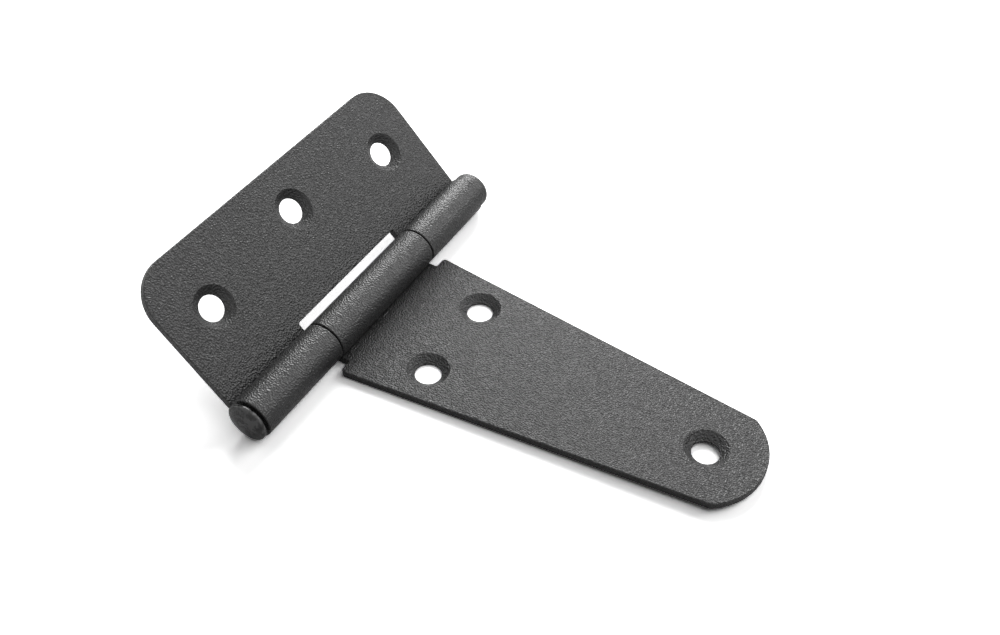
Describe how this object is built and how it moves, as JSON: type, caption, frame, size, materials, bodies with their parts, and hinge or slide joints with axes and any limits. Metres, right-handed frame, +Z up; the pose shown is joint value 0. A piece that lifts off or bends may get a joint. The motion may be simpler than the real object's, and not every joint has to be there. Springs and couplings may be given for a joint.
{
  "type": "triangular strap hinge",
  "caption": "Triangular strap hinge: a rectangular butt leaf and a tapering strap with a rounded nose, countersunk screw holes, rolled knuckles and a headed pin.",
  "frame": {"origin": "on the strap's back face, straight below the pin's axis, at the middle of the strap's width", "axes": "+X along the strap from the pin to its nose, +Y along the pin, +Z up out of the strap's countersunk face"},
  "size_m": [0.1226, 0.09, 0.0283],
  "materials": {
    "strap_coat": "fine-textured matt black powder coat on steel sheet",
    "butt_coat": "fine-textured matt black powder coat on steel sheet",
    "pin_coat": "thin, slightly smoother black powder coat on a steel pin"
  },
  "bodies": {
    "strap_body": {"strap": "strap_coat"},
    "butt_body": {"butt_leaf": "butt_coat", "hinge_pin": "pin_coat"}
  },
  "joints": [
    {"name": "pin_hinge", "type": "hinge", "parent": "strap_body", "child": "butt_body", "pos_m": [0, 0, 0.00489], "axis": [0, 1, 0], "range_deg": [-143, 143]}
  ]
}
